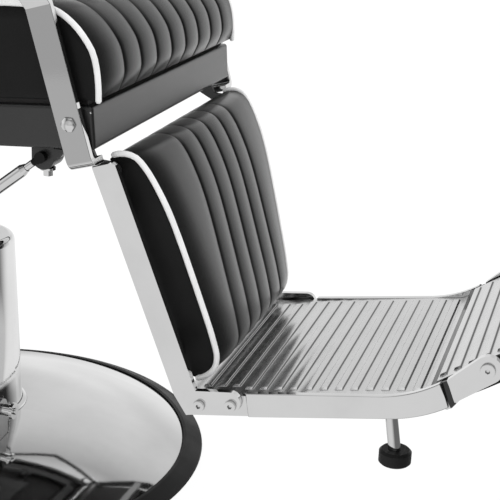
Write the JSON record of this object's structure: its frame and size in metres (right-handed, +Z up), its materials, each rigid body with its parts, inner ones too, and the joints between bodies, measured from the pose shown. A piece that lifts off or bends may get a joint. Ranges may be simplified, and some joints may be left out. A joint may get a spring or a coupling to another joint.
{
  "type": "hydraulic barber chair",
  "caption": "Padded barber chair on a round domed base with a foot-pumped lift column, reclining backrest, linked leg rest with a ribbed footrest and flip-over flap, and armrests on flat bars.",
  "frame": {"origin": "on the floor under the axis of the pump column", "axes": "+X the way the sitter faces, +Y the sitter's left, +Z up"},
  "size_m": [1.1244, 0.684, 1.2942],
  "materials": {
    "rim_rubber": "matt",
    "polished_chrome": "polished",
    "cast_base": "cast",
    "bare_steel": "satin",
    "black_enamel": "satin",
    "footrest_metal": "polished",
    "black_leather": "smooth, soft sheen",
    "board_wood": "painted dark"
  },
  "bodies": {
    "base": {"base_rim": "rim_rubber", "base_dome": "polished_chrome", "base_hub": "cast_base", "hub_bolts": "bare_steel", "column_foot_ring": "polished_chrome", "pump_column": "polished_chrome", "column_seal": "rim_rubber", "pump_cylinder": "bare_steel", "pedal_bracket": "bare_steel"},
    "pedal": {"pedal_shaft": "polished_chrome", "pump_lever": "polished_chrome", "pedal_pad": "rim_rubber"},
    "plunger": {"pump_plunger": "bare_steel"},
    "ram": {"ram_rod": "polished_chrome", "ram_piston": "bare_steel", "swivel_bearing": "bare_steel"},
    "seat": {"swivel_hub": "black_enamel", "seat_frame": "black_enamel", "seat_skirt": "black_leather", "seat_board": "board_wood", "seat_cushion": "black_leather", "front_arm_bars": "polished_chrome", "rear_arm_bars": "polished_chrome", "arm_bolts": "polished_chrome", "armrest_plates": "polished_chrome", "armrest_pad_right": "black_leather", "armrest_pad_left": "black_leather", "leg_rest_brackets": "black_enamel", "backrest_brackets": "black_enamel", "hinge_pins": "bare_steel", "lock_cylinder": "black_enamel", "lock_bracket": "black_enamel", "lever_housing": "black_enamel", "housing_bolt": "polished_chrome"},
    "lock_rod": {"lock_rod": "bare_steel"},
    "recline_lever": {"recline_lever": "polished_chrome", "lever_grip": "polished_chrome"},
    "backrest": {"backrest_frame": "black_enamel", "backrest_panel": "board_wood", "headrest_guide": "black_enamel", "backrest_cushion": "black_leather"},
    "headrest_post": {"headrest_post": "polished_chrome"},
    "headrest": {"headrest_bracket": "black_enamel", "headrest_cushion": "black_leather"},
    "leg_rest": {"leg_rest_bar_right": "polished_chrome", "leg_rest_bar_left": "polished_chrome", "leg_rest_crossbars": "bare_steel", "leg_rest_board": "board_wood", "leg_rest_cushion": "black_leather", "footrest_plate": "footrest_metal", "footrest_rails": "polished_chrome", "footrest_bolts": "polished_chrome", "support_posts": "polished_chrome", "support_feet": "rim_rubber", "flap_screws": "polished_chrome"},
    "recline_link": {"recline_link": "black_enamel"},
    "flap": {"flap_plate": "footrest_metal", "flap_pad": "black_leather"}
  },
  "joints": [
    {"name": "seat_lift", "type": "slide", "parent": "base", "child": "ram", "axis": [0, 0, 1], "range_m": [-0.1, 0.08]},
    {"name": "seat_swivel", "type": "hinge", "parent": "ram", "child": "seat", "pos_m": [0, 0, 0.45], "axis": [0, 0, 1], "continuous": true},
    {"name": "pedal_press", "type": "hinge", "parent": "base", "child": "pedal", "pos_m": [0.015, -0.086, 0.106], "axis": [1, 0, 0], "range_deg": [0, 14], "stiffness_Nm_per_rad": 8, "springref_deg": -22.92},
    {"name": "pump_stroke", "type": "slide", "parent": "base", "child": "plunger", "axis": [0, 0, 1], "range_m": [0, 0.0072]},
    {"name": "back_recline", "type": "hinge", "parent": "seat", "child": "backrest", "pos_m": [-0.196, 0, 0.556], "axis": [0, -1, 0], "range_deg": [0, 50]},
    {"name": "leg_rest_rise", "type": "hinge", "parent": "seat", "child": "leg_rest", "pos_m": [0.3, 0, 0.4884], "axis": [0, -1, 0], "range_deg": [0, 50]},
    {"name": "link_turn", "type": "hinge", "parent": "leg_rest", "child": "recline_link", "pos_m": [0.2738, 0.1995, 0.43221], "axis": [0, -1, 0], "range_deg": [-50, 0]},
    {"name": "lock_stroke", "type": "slide", "parent": "seat", "child": "lock_rod", "axis": [1, 0, 0], "range_m": [0, 0.0721]},
    {"name": "lever_pull", "type": "hinge", "parent": "seat", "child": "recline_lever", "pos_m": [0.221, -0.204, 0.4986], "axis": [0, 1, 0], "range_deg": [0, 12], "stiffness_Nm_per_rad": 3, "springref_deg": -17.19},
    {"name": "headrest_height", "type": "slide", "parent": "backrest", "child": "headrest_post", "axis": [-0.1564, 0, 0.9877], "range_m": [0, 0.1]},
    {"name": "headrest_tilt", "type": "hinge", "parent": "headrest_post", "child": "headrest", "pos_m": [-0.30752, 0, 1.22175], "axis": [0, -1, 0], "range_deg": [-10, 20]},
    {"name": "flap_turn", "type": "hinge", "parent": "leg_rest", "child": "flap", "pos_m": [0.73, 0, 0.306], "axis": [0, 1, 0], "range_deg": [0, 180]}
  ],
  "couplings": [
    {"joint": "pump_stroke", "follows": "pedal_press", "m_per_rad": 0.029},
    {"joint": "leg_rest_rise", "follows": "back_recline", "ratio": 1},
    {"joint": "link_turn", "follows": "back_recline", "ratio": -1},
    {"joint": "lock_stroke", "follows": "back_recline", "m_per_rad": 0.08229}
  ]
}
